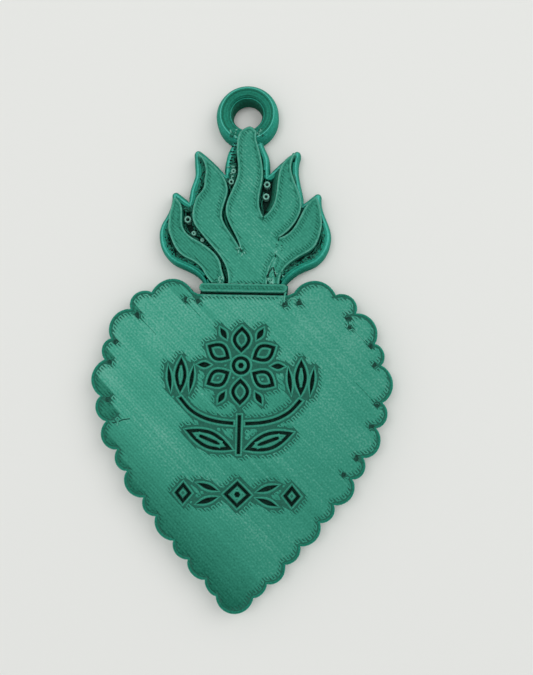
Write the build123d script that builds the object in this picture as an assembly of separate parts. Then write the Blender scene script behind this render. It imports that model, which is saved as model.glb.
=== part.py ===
from build123d import *
import math
import os

os.makedirs("parts", exist_ok=True)

# A printed votive charm that lies on its flat back: a heart with a scalloped edge, a collar bar,
# a crown of five flame tongues that stand in a shallow tray, and a ring to hang it by.
# Millimetres. The outlines are drawn from the middle of the heart's seat edge, where the crown
# meets it: X to the right, Y towards the ring, Z up from the flat back. The finished pieces are
# then moved so that the middle of the charm's underside is the origin.

# Heart plate
HEART_LENGTH = 45.95
HEART_THICKNESS = 3.0
SEAT_PAST_COLLAR = 0.1
SEAT_RISE_LENGTH = 0.9
SEAT_RISE = 0.42
SHOULDER_CENTRE = (3.9, -13.5)
SHOULDER_RADIUS = 17.1
SHOULDER_START = 54.1
FLANK_START = -20.1
FLANK_BULGE = 1.2
TIP_HALF_WIDTH = 2.75
TIP_RISE = 2.25
FIRST_LOBE_RISE = 1.9
# Each lobe after the first, from shoulder to tip: its share of the edge and how far it swells
LOBES = (
    (4.11, 1.31),
    (5.33, 1.46),
    (3.32, 0.85),
    (5.51, 1.55),
    (3.82, 1.10),
    (4.56, 1.50),
    (3.42, 0.90),
    (4.58, 1.30),
    (3.23, 0.80),
    (4.34, 1.10),
    (3.40, 0.75),
    (3.75, 0.95),
    (2.74, 0.45),
)

# Engraving on the heart: a flower on a stem, with two leaves and two buds on bent arms, over a row of
# leaves and diamonds. Places are those of the right side, and the left side mirrors them.
ENGRAVING_DEPTH = 0.8
CUT_WIDTH = 0.45
LEAF_FACETS = 4
SMALL_LEAF_FACETS = 2
FLOWER_CENTRE = (0.0, -10.6)
EYE_RADIUS = 1.4
EYE_SIDES = 10
SEED_RADIUS = 0.42
SEED_SIDES = 6
PETALS = 6
FIRST_PETAL_TURN = 90
PETAL_REACH = (1.95, 5.8)
PETAL_HALF_WIDTH = 1.4
SEPAL_REACH = (4.5, 6.4)
SEPAL_HALF_WIDTH = 0.5
STEM_TOP = -17.9
STEM_FOOT = -23.5
LEAF_ENDS = ((0.9, -22.9), (7.9, -20.2))
LEAF_HALF_WIDTH = 1.35
VEIN_ENDS = ((2.8, -22.15), (5.8, -21.0))
ARM_BEND = ((0.9, -19.1), (6.9, -19.1), (8.9, -15.5))
ARM_FACETS = 4
BUD_ENDS = ((8.9, -14.8), (8.9, -9.6))
BUD_HALF_WIDTH = 0.9
BUD_SIDE_ENDS = (((7.5, -14.7), (7.0, -10.8)), ((10.3, -14.7), (10.8, -10.8)))
BUD_SIDE_HALF_WIDTH = 0.36
ROW_Y = -29.3
ROW_DIAMOND_HALVES = (2.0, 1.9)
ROW_LEAF_REACH = (2.8, 5.9)
ROW_LEAF_SPREAD = (0.45, 1.5)
ROW_LEAF_HALF_WIDTH = 0.45
END_DIAMOND_X = 7.9
END_DIAMOND_HALVES = (1.25, 1.5)

# Collar bar
COLLAR_LENGTH = 13.2
COLLAR_WIDTH = 1.35
COLLAR_TOP = 3.4
COLLAR_ROUND = 0.45
SLOT_WIDTH = 0.3

# Flame tray: its right side, with a rounded tip for each tongue and a notch under each tip
FLOOR_TOP = 1.2
RIM_TOP = 2.2
RIM_WIDTH = 0.7
RIM_STEP_WIDTH = 0.25
RIM_STEP_DROP = 0.35
FOOT_HALF_WIDTH = 5.95
OUTER_FLANK = ((7.6, 3.65), (10.75, 5.25), (13.05, 9.5), (11.75, 13.6))
OUTER_TIP_ARC = ((11.55, 15.3), (11.2, 16.0), (10.6, 15.95))
OUTER_NOTCH = (8.9, 14.6)
INNER_FLANK = ((8.4, 17.05), (8.0, 19.2))
INNER_TIP_ARC = ((8.25, 22.0), (7.9, 22.7), (7.25, 22.6))
INNER_SLOPE = ((5.0, 20.7),)
INNER_NOTCH = (3.45, 19.05)
NECK_FLANK = ((3.45, 20.6), (2.8, 22.8))
NECK_HALF_WIDTH = 2.2
INSET_STEPS = 6

# Flame tongues: their sides, their tips and the forks where two tongues part
TONGUE_OVER_RING = 0.2
CENTRE_LEFT_SIDE = ((-1.3, 8.75), (-3.0, 12.75), (-1.3, 18.95), (-1.6, 22.15))
CENTRE_TIP = ((-1.1, 24.7), (-0.7, 25.5), (0.2, 25.95), (0.85, 25.5), (1.1, 24.7))
CENTRE_RIGHT_SIDE = ((2.2, 21.15), (2.55, 18.2), (2.05, 14.35))
LEFT_INNER_LEFT_SIDE = ((-4.1, 6.35), (-6.2, 8.75), (-8.0, 12.75), (-6.35, 18.05))
LEFT_INNER_TIP = (-7.7, 21.85)
LEFT_INNER_RIGHT_SIDE = ((-5.0, 19.95), (-2.75, 15.95), (-3.5, 12.0), (-2.2, 9.45))
LEFT_OUTER_LEFT_SIDE = ((-9.2, 6.25), (-11.7, 10.2))
LEFT_OUTER_TIP = (-10.9, 14.85)
LEFT_OUTER_RIGHT_SIDE = ((-9.7, 13.4), (-9.4, 10.3), (-6.4, 7.75), (-4.1, 5.85))
RIGHT_INNER_LEFT_SIDE = ((4.3, 14.15), (5.0, 19.15))
RIGHT_INNER_TIP = (7.5, 21.95)
RIGHT_INNER_RIGHT_SIDE = ((6.9, 18.9), (8.5, 13.75), (7.6, 11.15))
RIGHT_INNER_FOOT = ((4.0, 4.2),)
RIGHT_OUTER_LEFT_SIDE = ((8.2, 11.85), (9.6, 14.3))
RIGHT_OUTER_TIP = (10.7, 15.1)
RIGHT_OUTER_RIGHT_SIDE = ((11.45, 11.0), (9.6, 6.85), (6.8, 4.75))
RIGHT_OUTER_FOOT = ((4.25, 4.0),)
LEFT_FORK = (-0.5, 6.75)
MIDDLE_FORK = (2.75, 11.95)
RIGHT_FORK = (5.2, 8.75)
RIGHT_CREASE = (4.7, 5.65)

# Where the tongues' sides meet the collar, from left to right
LEFT_OUTER_ROOT_X = (-5.2, -3.9)
LEFT_INNER_ROOT_X = -2.3
LEFT_SPLIT_X = -0.3
MIDDLE_SPLIT_X = 2.0
RIGHT_INNER_ROOT_X = 3.6
RIGHT_OUTER_ROOT_X = (4.4, 5.4)

# Hanging ring
BORE_RADIUS = 2.27
RING_OUTER_RADIUS = 4.85
RING_TOP = 3.0
RING_FOOT_BEVEL = 0.3
CROWN_FACETS = 8
TIP_TO_BORE = 0.13

# Small hollow posts in the valleys between the tongues
POST_TOP = 2.4
POST_WALL = 0.28
POST_SIDES = 8
# Each post's place and outer radius
POSTS = (
    (3.15, 17.20, 0.56),
    (3.05, 15.30, 0.56),
    (-2.05, 19.30, 0.45),
    (-2.35, 17.60, 0.50),
    (-8.85, 11.60, 0.60),
    (-7.85, 9.45, 0.42),
    (-6.50, 8.40, 0.36),
)

# Places that follow from the sizes above
collar_high = SLOT_WIDTH + COLLAR_WIDTH
seat_half_length = COLLAR_LENGTH / 2 + SEAT_PAST_COLLAR
tongue_top = RING_TOP + TONGUE_OVER_RING
ring_centre_y = CENTRE_TIP[2][1] + TIP_TO_BORE + BORE_RADIUS
ring_half_width = (RING_OUTER_RADIUS - BORE_RADIUS) / 2
ring_middle_radius = BORE_RADIUS + ring_half_width
charm_high = ring_centre_y + RING_OUTER_RADIUS
charm_middle_y = (charm_high - HEART_LENGTH) / 2


def path(*runs):
    """Edges through runs of points: two points are a line, more are a smooth curve."""
    return [Line(*run) if len(run) == 2 else Spline(*run) for run in runs]


def closed_both_sides(right_edges, middle_edges):
    """A face bounded by edges of the right side, their mirror images and edges across the middle."""
    left_edges = [mirror(edge, about=Plane.YZ) for edge in right_edges]
    return make_face([*right_edges, *left_edges, *middle_edges])


def raised(face, low, high):
    """The solid over a face, from one height to another."""
    return Pos(0, 0, low) * extrude(face, high - low, dir=(0, 0, 1))


def bulge(start, end, rise):
    """An outward arc between two points; outward is to the left on the way to the heart's tip."""
    along = end - start
    outward = Vector(-along.Y, along.X).normalized()
    return ThreePointArc(start, (start + end) / 2 + outward * rise, end)


def pointed(ends, half_width, facets=LEAF_FACETS):
    """A leaf shape between two points, with a number of facets on each side."""
    root, tip = [Vector(*end) for end in ends]
    along = tip - root
    across = Vector(-along.Y, along.X).normalized() * half_width
    sides = []
    for step in range(1, facets):
        swell = math.sin(math.pi * step / facets)
        sides.append((root + along * (step / facets), across * swell))
    left = [middle + swell for middle, swell in sides]
    right = [middle - swell for middle, swell in reversed(sides)]
    return make_face(Polyline(root, *left, tip, *right, close=True))


def diamond(centre, halves):
    x, y = centre
    wide, high = halves
    return make_face(Polyline((x + wide, y), (x, y + high), (x - wide, y), (x, y - high), close=True))


def cut_line(edge, steps=1):
    """A cut of even width along an edge, square at its ends."""
    left = []
    right = []
    for step in range(steps + 1):
        share = step / steps
        along = edge % share
        out = Vector(-along.Y, along.X) * (CUT_WIDTH / 2)
        left.append(edge @ share + out)
        right.append(edge @ share - out)
    return make_face(Polyline(*left, *reversed(right), close=True))


def outlined(face):
    """A line cut just inside a face's outline, round a raised middle."""
    return face - offset(face, -CUT_WIDTH, kind=Kind.INTERSECTION)


def engraving_faces():
    """The plan of the cuts."""
    eye = outlined(RegularPolygon(EYE_RADIUS, EYE_SIDES))
    seed = RegularPolygon(SEED_RADIUS, SEED_SIDES)
    petal = outlined(pointed([(reach, 0) for reach in PETAL_REACH], PETAL_HALF_WIDTH))
    sepal = pointed([(reach, 0) for reach in SEPAL_REACH], SEPAL_HALF_WIDTH, SMALL_LEAF_FACETS)
    flower = [eye, seed]
    flower += PolarLocations(0, PETALS, FIRST_PETAL_TURN) * petal
    flower += PolarLocations(0, PETALS, FIRST_PETAL_TURN + 180 / PETALS) * sepal
    faces = [Pos(*FLOWER_CENTRE) * face for face in flower]
    faces.append(cut_line(Line((0, STEM_TOP), (0, STEM_FOOT))))
    faces.append(outlined(diamond((0, ROW_Y), ROW_DIAMOND_HALVES)))
    faces.append(Pos(0, ROW_Y) * seed)
    right_side = [
        outlined(pointed(LEAF_ENDS, LEAF_HALF_WIDTH)),
        cut_line(Line(*VEIN_ENDS)),
        cut_line(Bezier(*ARM_BEND), ARM_FACETS),
        outlined(pointed(BUD_ENDS, BUD_HALF_WIDTH)),
        outlined(diamond((END_DIAMOND_X, ROW_Y), END_DIAMOND_HALVES)),
    ]
    for ends in BUD_SIDE_ENDS:
        right_side.append(pointed(ends, BUD_SIDE_HALF_WIDTH, SMALL_LEAF_FACETS))
    for up_or_down in (1, -1):
        ends = []
        for reach, spread in zip(ROW_LEAF_REACH, ROW_LEAF_SPREAD):
            ends.append((reach, ROW_Y + up_or_down * spread))
        right_side.append(pointed(ends, ROW_LEAF_HALF_WIDTH, SMALL_LEAF_FACETS))
    return faces + right_side + [mirror(face, about=Plane.YZ) for face in right_side]


def heart_plate():
    shoulder = CenterArc(
        SHOULDER_CENTRE, SHOULDER_RADIUS, SHOULDER_START, FLANK_START - SHOULDER_START
    )
    last_notch = Vector(TIP_HALF_WIDTH, TIP_RISE - HEART_LENGTH)
    flank = bulge(shoulder @ 1, last_notch, FLANK_BULGE)
    edge_line = Wire([shoulder, flank])
    share_total = sum(share for share, _ in LOBES)
    seat_end = Vector(seat_half_length, 0)
    first_notch = seat_end + Vector(SEAT_RISE_LENGTH, SEAT_RISE)
    right_edges = [Line(seat_end, first_notch)]
    right_edges.append(bulge(first_notch, edge_line @ 0, FIRST_LOBE_RISE))
    travelled = 0
    for share, rise in LOBES:
        start = edge_line @ (travelled / share_total)
        travelled += share
        end = edge_line @ (travelled / share_total)
        right_edges.append(bulge(start, end, rise))
    seat = Line(-seat_end, seat_end)
    tip = ThreePointArc(last_notch, (0, -HEART_LENGTH), (-last_notch.X, last_notch.Y))
    plate = raised(closed_both_sides(right_edges, [seat, tip]), 0, HEART_THICKNESS)
    cut_floor = HEART_THICKNESS - ENGRAVING_DEPTH
    return plate - [raised(face, cut_floor, HEART_THICKNESS) for face in engraving_faces()]


def collar_bar():
    outline = Pos(0, SLOT_WIDTH + COLLAR_WIDTH / 2) * SlotOverall(COLLAR_LENGTH, COLLAR_WIDTH)
    bar = raised(outline, RIM_TOP, COLLAR_TOP)
    return fillet(bar.edges().group_by(Axis.Z)[-1], COLLAR_ROUND)


def flame_face():
    """The crown's outline, from under the collar to a neck that ends inside the ring's section."""
    foot = (FOOT_HALF_WIDTH, collar_high - RIM_WIDTH)
    neck_drop = math.sqrt(ring_middle_radius**2 - NECK_HALF_WIDTH**2)
    neck = (NECK_HALF_WIDTH, ring_centre_y - neck_drop)
    right_edges = path(
        (foot, *OUTER_FLANK, OUTER_TIP_ARC[0]),
        (OUTER_TIP_ARC[2], OUTER_NOTCH),
        (OUTER_NOTCH, *INNER_FLANK, INNER_TIP_ARC[0]),
        (INNER_TIP_ARC[2], *INNER_SLOPE, INNER_NOTCH),
        (INNER_NOTCH, *NECK_FLANK, neck),
    )
    right_edges.append(ThreePointArc(*OUTER_TIP_ARC))
    right_edges.append(ThreePointArc(*INNER_TIP_ARC))
    foot_edge = Line((-foot[0], foot[1]), foot)
    neck_edge = ThreePointArc((-neck[0], neck[1]), (0, ring_centre_y - ring_middle_radius), neck)
    return closed_both_sides(right_edges, [foot_edge, neck_edge])


def inset(face, distance):
    """A face whose outline is moved inwards and redrawn as smooth curves."""
    edges = []
    for edge in offset(face, -distance).edges():
        edges.append(Spline(*[edge @ (step / INSET_STEPS) for step in range(INSET_STEPS + 1)]))
    return make_face(edges)


def flame_tray(ring):
    """A tray with a stepped rim and a solid root under the collar."""
    outline = flame_face()
    step_height = RIM_TOP - RIM_STEP_DROP
    wall = raised(outline, 0, step_height)
    rim = raised(inset(outline, RIM_STEP_WIDTH), step_height, RIM_TOP)
    pocket = raised(inset(outline, RIM_WIDTH), FLOOR_TOP, RIM_TOP)
    root_outline = Pos(0, collar_high / 2) * Rectangle(COLLAR_LENGTH, collar_high)
    root = raised(root_outline, 0, RIM_TOP)
    return wall + rim - pocket + root - ring


def tongue_runs():
    """Each tongue's outline, in runs of points that close on themselves."""
    left_outer_roots = [(x, collar_high) for x in LEFT_OUTER_ROOT_X]
    left_inner_root = (LEFT_INNER_ROOT_X, collar_high)
    left_split = (LEFT_SPLIT_X, collar_high)
    middle_split = (MIDDLE_SPLIT_X, collar_high)
    right_inner_root = (RIGHT_INNER_ROOT_X, collar_high)
    right_outer_roots = [(x, collar_high) for x in RIGHT_OUTER_ROOT_X]
    return {
        "tongue_centre": (
            (LEFT_FORK, *CENTRE_LEFT_SIDE, CENTRE_TIP[0]),
            CENTRE_TIP,
            (CENTRE_TIP[-1], *CENTRE_RIGHT_SIDE, MIDDLE_FORK),
            (MIDDLE_FORK, middle_split),
            (middle_split, left_split),
            (left_split, LEFT_FORK),
        ),
        "tongue_left_inner": (
            (left_inner_root, *LEFT_INNER_LEFT_SIDE, LEFT_INNER_TIP),
            (LEFT_INNER_TIP, *LEFT_INNER_RIGHT_SIDE, LEFT_FORK),
            (LEFT_FORK, left_split),
            (left_split, left_inner_root),
        ),
        "tongue_left_outer": (
            (left_outer_roots[0], *LEFT_OUTER_LEFT_SIDE, LEFT_OUTER_TIP),
            (LEFT_OUTER_TIP, *LEFT_OUTER_RIGHT_SIDE, left_outer_roots[1]),
            left_outer_roots,
        ),
        "tongue_right_inner": (
            (MIDDLE_FORK, *RIGHT_INNER_LEFT_SIDE, RIGHT_INNER_TIP),
            (RIGHT_INNER_TIP, *RIGHT_INNER_RIGHT_SIDE, RIGHT_FORK),
            (RIGHT_FORK, RIGHT_CREASE),
            (RIGHT_CREASE, *RIGHT_INNER_FOOT, right_inner_root),
            (right_inner_root, middle_split),
            (middle_split, MIDDLE_FORK),
        ),
        "tongue_right_outer": (
            (RIGHT_FORK, *RIGHT_OUTER_LEFT_SIDE, RIGHT_OUTER_TIP),
            (RIGHT_OUTER_TIP, *RIGHT_OUTER_RIGHT_SIDE, right_outer_roots[1]),
            right_outer_roots,
            (right_outer_roots[0], *RIGHT_OUTER_FOOT, RIGHT_CREASE),
            (RIGHT_CREASE, RIGHT_FORK),
        ),
    }


def tongues(neighbours):
    """The five tongues: each stands on the tray's floor and stops at the pieces made before it."""
    made = {}
    for name, runs in tongue_runs().items():
        tongue = raised(make_face(path(*runs)), FLOOR_TOP, tongue_top)
        for neighbour in (*neighbours, *made.values()):
            tongue -= neighbour
        made[name] = tongue
    return made


def valley_posts(neighbours):
    posts = []
    for x, y, radius in POSTS:
        tube = RegularPolygon(radius, POST_SIDES) - RegularPolygon(radius - POST_WALL, POST_SIDES)
        post = raised(Pos(x, y) * tube, FLOOR_TOP, POST_TOP)
        for neighbour in neighbours:
            post -= neighbour
        posts += post.solids()
    return Compound(posts)


def hanging_ring():
    """A ring whose section has a short straight foot and a round crown."""
    crown_base = RING_TOP - ring_half_width
    section = [(ring_half_width - RING_FOOT_BEVEL, 0), (ring_half_width, RING_FOOT_BEVEL)]
    for facet in range(CROWN_FACETS + 1):
        turn = math.pi * facet / CROWN_FACETS
        rise = crown_base + ring_half_width * math.sin(turn)
        section.append((ring_half_width * math.cos(turn), rise))
    section += [(-ring_half_width, RING_FOOT_BEVEL), (RING_FOOT_BEVEL - ring_half_width, 0)]
    section_face = make_face(Polyline(*section, close=True))
    ring = revolve(Plane.XZ * Pos(ring_middle_radius, 0) * section_face, Axis.Z)
    return Pos(0, ring_centre_y) * ring


pieces = {
    "heart_plate": heart_plate(),
    "collar_bar": collar_bar(),
    "hanging_ring": hanging_ring(),
}
pieces["flame_tray"] = flame_tray(pieces["hanging_ring"])
pieces.update(tongues([pieces["flame_tray"], pieces["hanging_ring"]]))
pieces["valley_posts"] = valley_posts(list(pieces.values()))

for name, piece in pieces.items():
    export_step(Pos(0, -charm_middle_y, 0) * piece, f"parts/{name}.step")
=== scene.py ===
import math
import random
from collections import namedtuple

import bmesh
import bpy
import numpy as np
from mathutils import Matrix, Vector


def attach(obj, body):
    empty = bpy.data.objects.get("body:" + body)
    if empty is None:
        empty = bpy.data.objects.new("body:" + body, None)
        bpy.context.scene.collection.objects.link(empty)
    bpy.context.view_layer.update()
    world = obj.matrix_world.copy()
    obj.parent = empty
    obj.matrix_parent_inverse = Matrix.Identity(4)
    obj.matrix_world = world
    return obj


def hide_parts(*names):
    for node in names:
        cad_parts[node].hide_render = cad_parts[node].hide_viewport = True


# A votive charm as it comes off a filament printer: a scalloped heart with an engraved flower,
# a collar, a crown of flame tongues in a tray, and a hanging ring. The outlines are read from the
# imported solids, pushed a little where the print wanders off them, and laid with the lines and
# layers of the print. Plans are in millimetres.

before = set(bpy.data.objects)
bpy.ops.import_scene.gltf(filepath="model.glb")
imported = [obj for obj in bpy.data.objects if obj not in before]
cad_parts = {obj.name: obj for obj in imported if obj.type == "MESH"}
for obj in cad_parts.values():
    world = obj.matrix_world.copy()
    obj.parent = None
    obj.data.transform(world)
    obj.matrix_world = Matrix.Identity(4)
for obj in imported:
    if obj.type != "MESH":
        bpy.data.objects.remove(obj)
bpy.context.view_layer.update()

MM = 0.001
rng = random.Random(4)

# A line of the print: its points in millimetres, how light it shows, whether it closes on itself,
# and how full its section is at each point
Line = namedtuple("Line", "points tone closed fullness", defaults=(False, 1.0))

# Layers and walls: a wall's line, how far plates stand back inside it, how far they stop above the
# bed and under the fill, how far one plate laps another, and how far under a top a thin line lies
LAYER = 0.2
WALL_LINE = 0.45
WALL_BACK = 0.06
BED_GAP = 0.02
SKIN_UNDER_FILL = 0.05
PLATE_LAP = 0.05
FLOOR_PLATE = 0.1
THIN_LINE_DROP = 0.03

# Fill: the spacing, width and height of its lines, the shade painted into the grooves between them,
# the painted sheen a line of the heart loses for each millimetre along it, and how far the fill
# stays off an edge
HEART_PITCH = 0.42
TONGUE_PITCH = 0.39
FILL_LINE = 0.6
FILL_CROWN = 0.06
HEART_GROOVE_SHADE = 0.12
TONGUE_GROOVE_SHADE = 0.33
# Painted sheen: how much darker a line of the heart gets for each millimetre along it
HEART_SHEEN_FADE = 0.0012
FILL_CLEAR = 0.6
TONGUE_CLEAR = 0.52
COLLAR_CLEAR = 0.42

# Runs of fill: the directions along and across them, how they are sampled, which are too short to
# lay or near enough to join, how they taper where they turn, and how much they differ in tone
FILL_ALONG = np.array((1, -1)) / math.sqrt(2)
FILL_ACROSS = np.array((1, 1)) / math.sqrt(2)
FILL_SAMPLE = 0.06
SHORTEST_RUN = 0.28
JOINED_GAP = 2.5 * FILL_SAMPLE
TURN_REACH = 1.6
TURN_LENGTH = 0.45
SHORT_RUN_PARTS = 5
END_FULLNESS = (0.42, 0.58, 1.0)
TONE_SPREAD = 0.02

# Outlines: how near points count as one and sides as touching, the cosines above which a corner is
# gentle or no corner at all, the cosine of half a turn down to which an inset stays square, and the
# longest side of an outline that is pushed
SAME_POINT = 0.001
TOUCHING = 0.03
GENTLE_TURN = 0.55
IN_LINE = 1 - 1e-6
SQUARE_LIMIT = 0.6
OUTLINE_STEP = 0.4

# Heights of the printed surfaces
HEART_TOP = 3.0
ENGRAVING_FLOOR = 2.2
FLOOR_TOP = 1.2
RIM_TOP = 2.2
TONGUE_TOP = 3.2
COLLAR_FOOT = 2.2
POST_TOP = 2.4

# Hanging ring: layers follow its round crown, but for a flat, wide one on top
RING_CENTRE = (-0.17, 34.64)
RING_SIDES = 64
RING_MIDDLE_RADIUS = 3.56
RING_HALF_WIDTH = 1.29
RING_FOOT_BEVEL = 0.3
RING_TOP = 3.0
RING_TOP_HALF_WIDTH = 0.66
RING_CREST = 2.6

TONGUES = (
    "tongue_centre",
    "tongue_left_inner",
    "tongue_left_outer",
    "tongue_right_inner",
    "tongue_right_outer",
)

# How light the plastic shows, painted light and shade included: 0 is a deep cut in painted shade, 1
# is a worn or stretched strand
# Cuts, slots, gaps and floors between parts: a near-black tone that is painted shade
TONE_CUT_SHADE = 0.0
# Bare skin under the fill, darker as painted shade where it shows below the lines
TONE_SKIN = 0.36
TONE_WALL = 0.5
# The heart's edge line, darker as painted shade on its rounded side
TONE_EDGE_SHADE = 0.36
TONE_RIM = 0.6
# A painted highlight along the rim's crest
TONE_RIM_CREST_HIGHLIGHT = 0.77
TONE_COLLAR = 0.53
TONE_COLLAR_FILL = 0.46
# A painted highlight along the collar's crest
TONE_COLLAR_CREST_HIGHLIGHT = 0.66
TONE_RING = 0.4
# The ring's outer side, lighter as painted light
TONE_RING_SIDE_LIT = 0.6
# The ring's bore, darker as painted shade, but for its top layers
TONE_RING_BORE_SHADE = 0.28
TONE_FILL = 0.64
# Short runs in the left lobes, darker as painted shade
TONE_SHORT_FILL = 0.36
TONE_MIDDLE_SHORT_FILL = 0.58
TONE_CUT_EDGE = 0.55
TONE_TONGUE_EDGE = 0.57
# A painted highlight along the tongues' crests
TONE_CREST_HIGHLIGHT = 0.7
TONE_HEART_CREST = 0.58
TONE_POST = 0.82
# The floor of a pit, near black as painted shade
TONE_PIT_SHADE = 0.08
TONE_SCRATCH = 0.15
TONE_SEAM = 0.3
# A line low in a slot, darker as painted shade
TONE_SLOT_FILL = 0.3


def linear(hex_colour):
    """An sRGB hex colour as linear values with full alpha."""
    shares = [int(hex_colour[place : place + 2], 16) / 255 for place in (1, 3, 5)]
    return [c / 12.92 if c <= 0.04045 else ((c + 0.055) / 1.055) ** 2.4 for c in shares] + [1]


def feed(node, inputs):
    """Gives a node's inputs values, other nodes' outputs, or nodes for their first outputs."""
    for key, value in inputs.items():
        if isinstance(value, bpy.types.Node):
            value = value.outputs[0]
        if isinstance(value, bpy.types.NodeSocket):
            node.id_data.links.new(value, node.inputs[key])
        else:
            node.inputs[key].default_value = value


def add(tree, kind, inputs=None, **settings):
    """Adds a node with its settings and what feeds its inputs."""
    made = tree.nodes.new(kind)
    for name, value in settings.items():
        setattr(made, name, value)
    feed(made, inputs or {})
    return made


def placed(name, data):
    """A new object in the scene."""
    made = bpy.data.objects.new(name, data)
    bpy.context.collection.objects.link(made)
    return made


def either_way(most):
    """A random amount up to a limit, to either side."""
    return rng.uniform(-most, most)


# Outlines


def outlines(node, height):
    """Closed outlines of a solid's level faces at a height, with the faces on their left."""
    shell = bmesh.new()
    shell.from_mesh(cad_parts[node].data)
    bmesh.ops.remove_doubles(shell, verts=shell.verts, dist=SAME_POINT * MM)
    level = {}
    for face in shell.faces:
        if all(abs(corner.co.z - height * MM) < SAME_POINT * MM for corner in face.verts):
            level[face] = face.normal.z
    following = {}
    for face in level:
        for corner in face.loops:
            if not any(other in level for other in corner.edge.link_faces if other is not face):
                following[corner.vert] = corner.link_loop_next.vert
    looks_up = sum(level.values()) > 0
    loops = []
    while following:
        start, here = following.popitem()
        loop = [start.co.xy]
        while here is not start:
            loop.append(here.co.xy)
            here = following.pop(here)
        loop = np.array(loop) / MM
        loops.append(loop if looks_up else loop[::-1])
    shell.free()
    return sorted(loops, key=lambda loop: -abs(area(loop)))


def area(loop):
    """The area in a loop, positive where it runs anticlockwise."""
    after = np.roll(loop, -1, 0)
    return (loop[:, 0] * after[:, 1] - loop[:, 1] * after[:, 0]).sum() / 2


def unit(vectors):
    """Vectors of length one, each the same way as before."""
    return vectors / np.maximum(np.linalg.norm(vectors, axis=1), 1e-9)[:, None]


def inset(line, distance, closed=True):
    """A line moved to its left, square at its corners up to a limit."""
    before = np.roll(line, 1, 0)
    after = np.roll(line, -1, 0)
    if not closed:
        before[0] = 2 * line[0] - line[1]
        after[-1] = 2 * line[-1] - line[-2]
    left_before = unit(line - before) @ np.array(((0, 1), (-1, 0)))
    left_after = unit(after - line) @ np.array(((0, 1), (-1, 0)))
    middle = unit(left_before + left_after)
    stretch = 1 / np.maximum((middle * left_before).sum(1), SQUARE_LIMIT)
    return line + middle * (distance * stretch)[:, None]


def sides(loops):
    """The straight sides of closed loops, as their starts and ends."""
    starts = np.concatenate(loops)
    ends = np.concatenate([np.roll(loop, -1, 0) for loop in loops])
    return starts, ends


def distance_to(points, starts, ends):
    """How far each point is from the nearest side."""
    along = ends - starts
    reach = np.maximum((along**2).sum(1), 1e-12)
    share = ((points[:, None] - starts) * along).sum(2) / reach
    nearest = starts + np.clip(share, 0, 1)[:, :, None] * along
    return np.linalg.norm(points[:, None] - nearest, axis=2).min(1)


def inside(points, loop):
    """Whether each point lies in a closed loop."""
    starts, ends = sides([loop])
    over = starts[:, 1] > points[:, 1:]
    under = ends[:, 1] > points[:, 1:]
    rise = np.where(starts[:, 1] == ends[:, 1], 1, ends[:, 1] - starts[:, 1])
    meets = starts[:, 0] + (points[:, 1:] - starts[:, 1]) / rise * (ends - starts)[:, 0]
    return ((over != under) & (points[:, :1] < meets)).sum(1) % 2 == 1


def spans(kept):
    """Where each unbroken span of kept places begins, and the place after its last."""
    changes = np.flatnonzero(np.diff(np.concatenate([[False], kept, [False]]).astype(int)))
    return zip(changes[::2], changes[1::2])


def free_runs(loop, touching):
    """The stretches of a closed loop that don't lie against other sides."""
    middles = (loop + np.roll(loop, -1, 0)) / 2
    free = distance_to(middles, *touching) > TOUCHING
    if free.all():
        return [np.concatenate([loop, loop[:1]])]
    turn = -1 - int(np.argmin(free))
    loop = np.roll(loop, turn, 0)
    return [loop[begin : finish + 1] for begin, finish in spans(np.roll(free, turn))]


def softened(loop):
    """A faceted loop with its gentle corners cut off, twice over, and its sharp ones kept."""
    for _ in range(2):
        before = np.roll(loop, 1, 0)
        after = np.roll(loop, -1, 0)
        straight = (unit(loop - before) * unit(after - loop)).sum(1)
        points = []
        for corner, last, following, turn in zip(loop, before, after, straight):
            if turn < GENTLE_TURN:
                points.append(corner)
            else:
                points += [corner + (last - corner) / 4, corner + (following - corner) / 4]
        loop = np.array(points)
    return loop


def divided(loop, step):
    """A loop with points added, so that no side is longer than a step."""
    points = []
    for here, following in zip(loop, np.roll(loop, -1, 0)):
        count = math.ceil(np.linalg.norm(following - here) / step)
        points += [here + (following - here) * place / count for place in range(count)]
    return np.array(points)


def straightened(loop):
    """A loop without the points that lie in line with their neighbours."""
    onwards = unit(np.roll(loop, -1, 0) - loop)
    return loop[(np.roll(onwards, 1, 0) * onwards).sum(1) < IN_LINE]


def nearness(loop, spot, reach):
    """How near each point is to a spot: 1 at the spot, and smoothly less to 0 at its reach."""
    share = np.clip(1 - np.linalg.norm(loop - np.array(spot), axis=1) / reach, 0, 1)
    return share * share * (3 - 2 * share)


def nudged(loop, wanders):
    """A loop whose points near each spot are pushed aside, less and less with distance from it."""
    loop = divided(loop, OUTLINE_STEP)
    for spot, push, reach in wanders:
        loop = loop + nearness(loop, spot, reach)[:, None] * np.array(push)
    return straightened(loop)


def swollen(loop, swells):
    """A loop that stands out near each spot, less and less with distance from it."""
    loop = divided(loop, OUTLINE_STEP)
    widths = sum(width * nearness(loop, spot, reach) for spot, width, reach in swells)
    return straightened(inset(loop, -widths))


def ring_circle(radius):
    """An anticlockwise circle around the middle of the hanging ring."""
    turns = np.arange(RING_SIDES) * 2 * math.pi / RING_SIDES
    return np.array(RING_CENTRE) + radius * np.stack([np.cos(turns), np.sin(turns)], 1)


# Printed lines, layers and plates


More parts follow.
